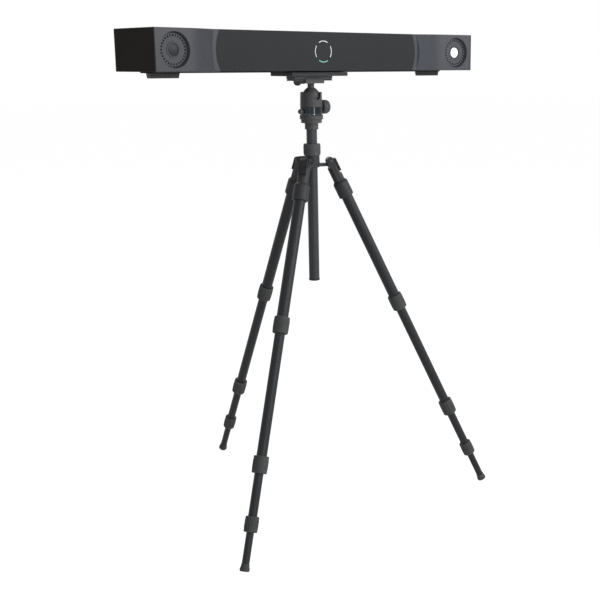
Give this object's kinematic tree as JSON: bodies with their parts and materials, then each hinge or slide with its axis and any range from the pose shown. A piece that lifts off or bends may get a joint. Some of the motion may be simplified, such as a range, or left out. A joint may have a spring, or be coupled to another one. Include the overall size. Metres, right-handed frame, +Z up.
{
  "type": "laser scanner tracking bar",
  "caption": "Wide optical tracking bar with a camera in each end, on a ball head, centre column and folding tripod with telescopic legs.",
  "frame": {"origin": "on the floor, in the middle of the space the stand and bar cover", "axes": "+X along the bar towards the ball lock knob, +Y to the back, +Z up; the window faces -Y"},
  "size_m": [1.0834, 0.802, 1.3628],
  "materials": {
    "bar_shell": "matte",
    "black_casting": "satin",
    "cheek_cover": "matte",
    "dark_anodised": "satin",
    "grip_plastic": "matte",
    "lens_barrel": "satin",
    "lens_glass": "gloss",
    "marker_ring": "matte",
    "pin_steel": "brushed",
    "polished_ring": "polished",
    "rubber": "matte",
    "status_light": "satin",
    "window_panel": "satin"
  },
  "bodies": {
    "shoulder": {"shoulder": "black_casting", "leg_hinge_pins": "pin_steel"},
    "left_leg": {"left_leg_casting": "black_casting", "left_leg_tube_1": "dark_anodised"},
    "left_catch": {"left_angle_catch": "grip_plastic"},
    "left_lock_1": {"left_twist_lock_1": "grip_plastic"},
    "left_section_2": {"left_leg_tube_2": "dark_anodised"},
    "left_lock_2": {"left_twist_lock_2": "grip_plastic"},
    "left_section_3": {"left_leg_tube_3": "dark_anodised"},
    "left_lock_3": {"left_twist_lock_3": "grip_plastic"},
    "left_section_4": {"left_leg_tube_4": "dark_anodised", "left_rubber_foot": "rubber"},
    "right_leg": {"right_leg_casting": "black_casting", "right_leg_tube_1": "dark_anodised"},
    "right_catch": {"right_angle_catch": "grip_plastic"},
    "right_lock_1": {"right_twist_lock_1": "grip_plastic"},
    "right_section_2": {"right_leg_tube_2": "dark_anodised"},
    "right_lock_2": {"right_twist_lock_2": "grip_plastic"},
    "right_section_3": {"right_leg_tube_3": "dark_anodised"},
    "right_lock_3": {"right_twist_lock_3": "grip_plastic"},
    "right_section_4": {"right_leg_tube_4": "dark_anodised", "right_rubber_foot": "rubber"},
    "rear_leg": {"rear_leg_casting": "black_casting", "rear_leg_tube_1": "dark_anodised"},
    "rear_catch": {"rear_angle_catch": "grip_plastic"},
    "rear_lock_1": {"rear_twist_lock_1": "grip_plastic"},
    "rear_section_2": {"rear_leg_tube_2": "dark_anodised"},
    "rear_lock_2": {"rear_twist_lock_2": "grip_plastic"},
    "rear_section_3": {"rear_leg_tube_3": "dark_anodised"},
    "rear_lock_3": {"rear_twist_lock_3": "grip_plastic"},
    "rear_section_4": {"rear_leg_tube_4": "dark_anodised", "rear_rubber_foot": "rubber"},
    "column": {"column_tube": "dark_anodised", "column_end_cap": "grip_plastic", "column_top_plate": "black_casting", "pan_base": "black_casting"},
    "column_lock": {"column_twist_lock": "grip_plastic"},
    "head_housing": {"ball_housing": "black_casting", "pan_ring": "polished_ring"},
    "ball_lock": {"ball_lock_knob": "grip_plastic"},
    "pan_lock": {"pan_lock_knob": "grip_plastic"},
    "ball": {"head_ball": "black_casting"},
    "clamp": {"ball_stem": "black_casting", "clamp_body": "black_casting"},
    "jaw": {"clamp_jaw": "black_casting"},
    "jaw_knob": {"clamp_knob": "grip_plastic"},
    "bar": {"release_plate": "dark_anodised", "bar_foot_plate": "dark_anodised", "rear_housing": "bar_shell", "left_front_cover": "cheek_cover", "right_front_cover": "cheek_cover", "window": "window_panel", "status_light": "status_light", "left_marker_ring": "marker_ring", "right_marker_ring": "marker_ring", "left_lens_barrel": "lens_barrel", "right_lens_barrel": "lens_barrel", "left_lens": "lens_glass", "right_lens": "lens_glass", "end_pads": "rubber"}
  },
  "joints": [
    {"name": "column_slide", "type": "slide", "parent": "shoulder", "child": "column", "axis": [0, 0, 1], "range_m": [-0.038, 0.3]},
    {"name": "pan_turn", "type": "hinge", "parent": "column", "child": "head_housing", "pos_m": [0, -0.12985, 1.13866], "axis": [0, 0, 1], "continuous": true},
    {"name": "ball_tilt", "type": "hinge", "parent": "head_housing", "child": "ball", "pos_m": [0, -0.12985, 1.19116], "axis": [1, 0, 0], "range_deg": [-25, 25]},
    {"name": "ball_roll", "type": "hinge", "parent": "ball", "child": "clamp", "pos_m": [0, -0.12985, 1.19116], "axis": [0, 1, 0], "range_deg": [-25, 25]},
    {"name": "plate_slide", "type": "slide", "parent": "clamp", "child": "bar", "axis": [1, 0, 0], "range_m": [-0.02, 0.02]},
    {"name": "left_leg_fold", "type": "hinge", "parent": "shoulder", "child": "left_leg", "pos_m": [-0.04373, -0.1551, 1.00966], "axis": [0.5, -0.866, 0], "range_deg": [0, 25]},
    {"name": "right_leg_fold", "type": "hinge", "parent": "shoulder", "child": "right_leg", "pos_m": [0.04373, -0.1551, 1.00966], "axis": [0.5, 0.866, 0], "range_deg": [0, 25]},
    {"name": "rear_leg_fold", "type": "hinge", "parent": "shoulder", "child": "rear_leg", "pos_m": [0, -0.07935, 1.00966], "axis": [-1, 0, 0], "range_deg": [0, 25]},
    {"name": "left_section_2_slide", "type": "slide", "parent": "left_leg", "child": "left_section_2", "axis": [-0.366, -0.2113, -0.9063], "range_m": [-0.324, 0]},
    {"name": "left_section_3_slide", "type": "slide", "parent": "left_section_2", "child": "left_section_3", "axis": [-0.366, -0.2113, -0.9063], "range_m": [-0.106, 0.198]},
    {"name": "left_section_4_slide", "type": "slide", "parent": "left_section_3", "child": "left_section_4", "axis": [-0.366, -0.2113, -0.9063], "range_m": [-0.074, 0.25]},
    {"name": "right_section_2_slide", "type": "slide", "parent": "right_leg", "child": "right_section_2", "axis": [0.366, -0.2113, -0.9063], "range_m": [-0.324, 0]},
    {"name": "right_section_3_slide", "type": "slide", "parent": "right_section_2", "child": "right_section_3", "axis": [0.366, -0.2113, -0.9063], "range_m": [-0.106, 0.198]},
    {"name": "right_section_4_slide", "type": "slide", "parent": "right_section_3", "child": "right_section_4", "axis": [0.366, -0.2113, -0.9063], "range_m": [-0.074, 0.25]},
    {"name": "rear_section_2_slide", "type": "slide", "parent": "rear_leg", "child": "rear_section_2", "axis": [0, 0.4226, -0.9063], "range_m": [-0.324, 0]},
    {"name": "rear_section_3_slide", "type": "slide", "parent": "rear_section_2", "child": "rear_section_3", "axis": [0, 0.4226, -0.9063], "range_m": [-0.106, 0.198]},
    {"name": "rear_section_4_slide", "type": "slide", "parent": "rear_section_3", "child": "rear_section_4", "axis": [0, 0.4226, -0.9063], "range_m": [-0.074, 0.25]},
    {"name": "left_catch_pull", "type": "slide", "parent": "left_leg", "child": "left_catch", "axis": [-0.7849, -0.4532, 0.4226], "range_m": [0, 0.005]},
    {"name": "right_catch_pull", "type": "slide", "parent": "right_leg", "child": "right_catch", "axis": [0.7849, -0.4532, 0.4226], "range_m": [0, 0.005]},
    {"name": "rear_catch_pull", "type": "slide", "parent": "rear_leg", "child": "rear_catch", "axis": [0, 0.9063, 0.4226], "range_m": [0, 0.005]},
    {"name": "ball_lock_turn", "type": "hinge", "parent": "head_housing", "child": "ball_lock", "pos_m": [0.034, -0.12985, 1.15966], "axis": [1, 0, 0], "range_deg": [0, 270]},
    {"name": "pan_lock_turn", "type": "hinge", "parent": "head_housing", "child": "pan_lock", "pos_m": [-0.0318, -0.12985, 1.14846], "axis": [-1, 0, 0], "range_deg": [0, 270]},
    {"name": "clamp_knob_turn", "type": "hinge", "parent": "jaw", "child": "jaw_knob", "pos_m": [0, -0.09935, 1.22896], "axis": [0, 1, 0], "range_deg": [0, 540]},
    {"name": "jaw_slide", "type": "slide", "parent": "clamp", "child": "jaw", "axis": [0, 1, 0], "range_m": [0, 0.0031]},
    {"name": "column_lock_turn", "type": "hinge", "parent": "shoulder", "child": "column_lock", "pos_m": [0, -0.12985, 1.02626], "axis": [0, 0, 1], "range_deg": [0, 100]},
    {"name": "left_lock_1_turn", "type": "hinge", "parent": "left_leg", "child": "left_lock_1", "pos_m": [0, 0.1159, 0.59094], "axis": [-0.366, -0.2113, -0.9063], "range_deg": [0, 100]},
    {"name": "left_lock_2_turn", "type": "hinge", "parent": "left_section_2", "child": "left_lock_2", "pos_m": [0, 0.27396, 0.25198], "axis": [-0.366, -0.2113, -0.9063], "range_deg": [0, 100]},
    {"name": "left_lock_3_turn", "type": "hinge", "parent": "left_section_3", "child": "left_lock_3", "pos_m": [0, 0.33904, 0.11241], "axis": [-0.366, -0.2113, -0.9063], "range_deg": [0, 100]},
    {"name": "right_lock_1_turn", "type": "hinge", "parent": "right_leg", "child": "right_lock_1", "pos_m": [0, 0.1159, 0.59094], "axis": [0.366, -0.2113, -0.9063], "range_deg": [0, 100]},
    {"name": "right_lock_2_turn", "type": "hinge", "parent": "right_section_2", "child": "right_lock_2", "pos_m": [0, 0.27396, 0.25198], "axis": [0.366, -0.2113, -0.9063], "range_deg": [0, 100]},
    {"name": "right_lock_3_turn", "type": "hinge", "parent": "right_section_3", "child": "right_lock_3", "pos_m": [0, 0.33904, 0.11241], "axis": [0.366, -0.2113, -0.9063], "range_deg": [0, 100]},
    {"name": "rear_lock_1_turn", "type": "hinge", "parent": "rear_leg", "child": "rear_lock_1", "pos_m": [0, 0.1159, 0.59094], "axis": [0, 0.4226, -0.9063], "range_deg": [0, 100]},
    {"name": "rear_lock_2_turn", "type": "hinge", "parent": "rear_section_2", "child": "rear_lock_2", "pos_m": [0, 0.27396, 0.25198], "axis": [0, 0.4226, -0.9063], "range_deg": [0, 100]},
    {"name": "rear_lock_3_turn", "type": "hinge", "parent": "rear_section_3", "child": "rear_lock_3", "pos_m": [0, 0.33904, 0.11241], "axis": [0, 0.4226, -0.9063], "range_deg": [0, 100]}
  ],
  "couplings": [
    {"joint": "jaw_slide", "follows": "clamp_knob_turn", "m_per_rad": 0.00031831}
  ]
}
